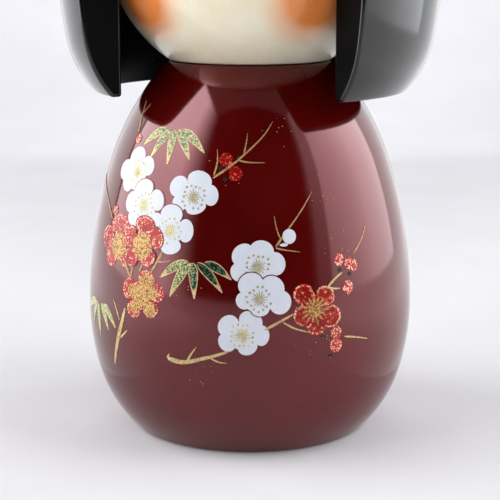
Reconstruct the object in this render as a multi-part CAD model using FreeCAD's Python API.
import FreeCAD, Part
import math
import os

# A turned wooden kokeshi doll in four pieces, in millimetres.
# The egg-shaped torso stands on z = 0, the doll's axis is Z and its face looks along -Y.
# The head (ball, hair shell and peg) turns on the torso about Z.

# Torso: tangent arcs, from the foot up over the belly to the shoulder.
TORSO_HEIGHT = 75.8
BELLY_RADIUS = 33.5
BELLY_Z = 25.4
UPPER_ARC = 96.0
SHOULDER_Z = 56.9
SHOULDER_ARC = 53.2
FLANK_ARC = 45.6
FLANK_TURN = 18.2
FOOT_ARC = 25.9
FOOT_EDGE_ROUND = 0.6
TOP_EDGE_ROUND = 0.4

# Head ball, cut flat below to sit over the torso and above to butt against the hair shell.
BALL_RADIUS = 29.1
BALL_Z = 100.0
NECK_GAP = 0.2
SEAT_RADIUS = 9.0

# Peg: tight in the ball, a running fit in the torso.
PEG_RADIUS = 5.0
PEG_CLEARANCE = 0.05
PEG_IN_BALL = 14.0
PEG_IN_TORSO = 13.5
PEG_CHAMFER = 0.8
PEG_END_ROOM = 1.0

# Hair shell: a thick bob with a straight bore and a window cut for the face.
HAIR_RADIUS = 38.8
HAIR_RIM_Z = 69.7
HAIR_BORE_RADIUS = 29.4
HAIR_SIDE_ARC = 114.4
HAIR_SIDE_TURN_DOWN = 9.8
HAIR_SIDE_TURN_UP = 4.0
HAIR_CHEEK_ARC = 20.1
HAIR_CROWN_ARC = 32.0
HAIR_CROWN_TURN = 60.0
RIM_OUTER_ROUND = 1.0
RIM_INNER_ROUND = 0.5
WINDOW_ANGLE = 90.0
WINDOW_TOP_Z = 113.0
WINDOW_EDGE_ROUND = 0.5

NEAR = 0.01  # how close an edge must be to a named place to be picked
CUT_MARGIN = 1.0  # how far a cutting tool runs past what it cuts
Z_AXIS = FreeCAD.Vector(0, 0, 1)


def at(radius, z):
    """A point of a turned outline, drawn in the XZ half-plane."""
    return FreeCAD.Vector(radius, 0, z)


def along(angle, length):
    """A step of the given length, at an angle in degrees up from +X in the XZ plane."""
    return at(length * math.cos(math.radians(angle)), length * math.sin(math.radians(angle)))


def arc(centre, radius, start, end):
    """An arc of the outline, between two angles in degrees."""
    middle = (start + end) / 2
    points = [centre + along(angle, radius) for angle in (start, middle, end)]
    return Part.Arc(*points).toShape()


def next_centre(centre, radius, new_radius, angle):
    """The centre of an arc that goes on smoothly from another one at this angle."""
    return centre + along(angle, radius - new_radius)


def angle_at(centre, radius, z):
    """The angle at which an arc reaches a height."""
    return math.degrees(math.asin((z - centre.z) / radius))


def turn(edges):
    """A solid turned from a closed outline in the XZ half-plane."""
    face = Part.Face(Part.Wire(Part.__sortEdges__(edges)))
    return face.revolve(FreeCAD.Vector(0, 0, 0), Z_AXIS, 360)


def line(a, b):
    """A straight run of the outline."""
    return Part.LineSegment(a, b).toShape()


def circles(shape, radius, z):
    """The circular edges of a turned solid at one radius and height."""
    picked = []
    for edge in shape.Edges:
        box = edge.BoundBox
        flat = abs(box.ZMin - z) < NEAR and abs(box.ZMax - z) < NEAR
        if flat and abs(box.XMax - radius) < NEAR:
            picked.append(edge)
    return picked


def torso():
    """The egg-shaped body, with a bore in its top for the peg."""
    upper = at(BELLY_RADIUS - UPPER_ARC, BELLY_Z)
    shoulder_turn = angle_at(upper, UPPER_ARC, SHOULDER_Z)
    shoulder = next_centre(upper, UPPER_ARC, SHOULDER_ARC, shoulder_turn)
    top_turn = angle_at(shoulder, SHOULDER_ARC, TORSO_HEIGHT)
    flank = at(BELLY_RADIUS - FLANK_ARC, BELLY_Z)
    foot = next_centre(flank, FLANK_ARC, FOOT_ARC, -FLANK_TURN)
    foot_turn = angle_at(foot, FOOT_ARC, 0)
    base_edge = foot + along(foot_turn, FOOT_ARC)
    top_edge = shoulder + along(top_turn, SHOULDER_ARC)
    solid = turn([
        line(at(0, 0), base_edge),
        arc(foot, FOOT_ARC, foot_turn, -FLANK_TURN),
        arc(flank, FLANK_ARC, -FLANK_TURN, 0),
        arc(upper, UPPER_ARC, 0, shoulder_turn),
        arc(shoulder, SHOULDER_ARC, shoulder_turn, top_turn),
        line(top_edge, at(0, TORSO_HEIGHT)),
        line(at(0, TORSO_HEIGHT), at(0, 0)),
    ])
    solid = solid.makeFillet(FOOT_EDGE_ROUND, circles(solid, base_edge.x, 0))
    solid = solid.makeFillet(TOP_EDGE_ROUND, circles(solid, top_edge.x, TORSO_HEIGHT))
    print("torso: base radius %.2f, top radius %.2f" % (base_edge.x, top_edge.x))
    depth = PEG_IN_TORSO + NECK_GAP + PEG_END_ROOM
    bore = Part.makeCylinder(PEG_RADIUS + PEG_CLEARANCE, depth, at(0, TORSO_HEIGHT - depth))
    return solid.cut(bore)


def head_bottom():
    """The height of the head ball's flat underside."""
    return TORSO_HEIGHT + NECK_GAP


def seat_z():
    """The height at which the ball's small top flat meets the hair shell."""
    return BALL_Z + math.sqrt(BALL_RADIUS**2 - SEAT_RADIUS**2)


def neck_peg():
    """The dowel that joins head and torso."""
    bottom = head_bottom() - NECK_GAP - PEG_IN_TORSO
    length = head_bottom() + PEG_IN_BALL - bottom
    peg = Part.makeCylinder(PEG_RADIUS, length, at(0, bottom))
    ends = circles(peg, PEG_RADIUS, bottom) + circles(peg, PEG_RADIUS, bottom + length)
    return peg.makeChamfer(PEG_CHAMFER, ends)


def face_ball():
    """The head ball, with a flat below, a small flat above and a socket for the peg."""
    ball = Part.makeSphere(BALL_RADIUS, at(0, BALL_Z))
    height = seat_z() - head_bottom()
    ball = ball.common(Part.makeCylinder(BALL_RADIUS + CUT_MARGIN, height, at(0, head_bottom())))
    socket = Part.makeCylinder(PEG_RADIUS, PEG_IN_BALL, at(0, head_bottom()))
    return ball.cut(socket)


def hair_outside():
    """The turned outside of the hair, closed along the axis."""
    side = at(HAIR_RADIUS - HAIR_SIDE_ARC, BALL_Z)
    cheek = next_centre(side, HAIR_SIDE_ARC, HAIR_CHEEK_ARC, -HAIR_SIDE_TURN_DOWN)
    rim_turn = angle_at(cheek, HAIR_CHEEK_ARC, HAIR_RIM_Z)
    crown = next_centre(side, HAIR_SIDE_ARC, HAIR_CROWN_ARC, HAIR_SIDE_TURN_UP)
    # The dome's arc is centred on the axis, so that the crown has no point.
    dome_arc = HAIR_CROWN_ARC + crown.x / math.cos(math.radians(HAIR_CROWN_TURN))
    dome = next_centre(crown, HAIR_CROWN_ARC, dome_arc, HAIR_CROWN_TURN)
    rim = cheek + along(rim_turn, HAIR_CHEEK_ARC)
    top = dome + along(90, dome_arc)
    print("hair: rim radius %.2f, whole height %.2f" % (rim.x, top.z))
    solid = turn([
        line(at(0, HAIR_RIM_Z), rim),
        arc(cheek, HAIR_CHEEK_ARC, -HAIR_SIDE_TURN_DOWN, rim_turn),
        arc(side, HAIR_SIDE_ARC, -HAIR_SIDE_TURN_DOWN, HAIR_SIDE_TURN_UP),
        arc(crown, HAIR_CROWN_ARC, HAIR_SIDE_TURN_UP, HAIR_CROWN_TURN),
        arc(dome, dome_arc, HAIR_CROWN_TURN, 90),
        line(top, at(0, HAIR_RIM_Z)),
    ])
    return solid.makeFillet(RIM_OUTER_ROUND, circles(solid, rim.x, HAIR_RIM_Z))


def hair_hollow():
    """The bore for the head ball: straight below, domed above, with a flat seat."""
    mouth_z = HAIR_RIM_Z - CUT_MARGIN
    below = Part.makeCylinder(HAIR_BORE_RADIUS, BALL_Z - mouth_z, at(0, mouth_z))
    dome = Part.makeSphere(HAIR_BORE_RADIUS, at(0, BALL_Z))
    height = seat_z() - BALL_Z
    dome = dome.common(Part.makeCylinder(HAIR_BORE_RADIUS + CUT_MARGIN, height, at(0, BALL_Z)))
    return below.fuse(dome)


def face_window():
    """The wedge that is cut from the rim up to the fringe."""
    reach = HAIR_RADIUS + CUT_MARGIN
    bottom = HAIR_RIM_Z - CUT_MARGIN
    wedge = Part.makeCylinder(reach, WINDOW_TOP_Z - bottom, at(0, bottom), Z_AXIS, WINDOW_ANGLE)
    wedge.rotate(FreeCAD.Vector(0, 0, 0), Z_AXIS, -90 - WINDOW_ANGLE / 2)
    return wedge


def window_edges(shape):
    """The edges where the window's two upright faces meet the outside of the hair."""
    picked = []
    for edge in shape.Edges:
        place = edge.valueAt((edge.FirstParameter + edge.LastParameter) / 2)
        radius = math.hypot(place.x, place.y)
        angle = math.degrees(math.atan2(place.x, -place.y))
        on_side = abs(abs(angle) - WINDOW_ANGLE / 2) < NEAR
        outside = radius > HAIR_BORE_RADIUS + RIM_INNER_ROUND
        level = edge.BoundBox.ZLength < NEAR
        if on_side and outside and not level:
            picked.append(edge)
    return picked


def hair_shell():
    """The bob of hair: a thick turned shell, open below and in front of the face."""
    shell = hair_outside().cut(hair_hollow())
    shell = shell.makeFillet(RIM_INNER_ROUND, circles(shell, HAIR_BORE_RADIUS, HAIR_RIM_Z))
    shell = shell.cut(face_window())
    return shell.makeFillet(WINDOW_EDGE_ROUND, window_edges(shell))


def write(name, shape):
    """Writes one piece as parts/NAME.step, after a check that it is one sound solid."""
    solid = shape.Solids[0]
    print(name, "solids", len(shape.Solids), "valid", solid.isValid(), "volume %.0f" % solid.Volume)
    solid.exportStep("parts/%s.step" % name)


os.makedirs("parts", exist_ok=True)
write("torso", torso())
write("neck_peg", neck_peg())
write("face_ball", face_ball())
write("hair_shell", hair_shell())
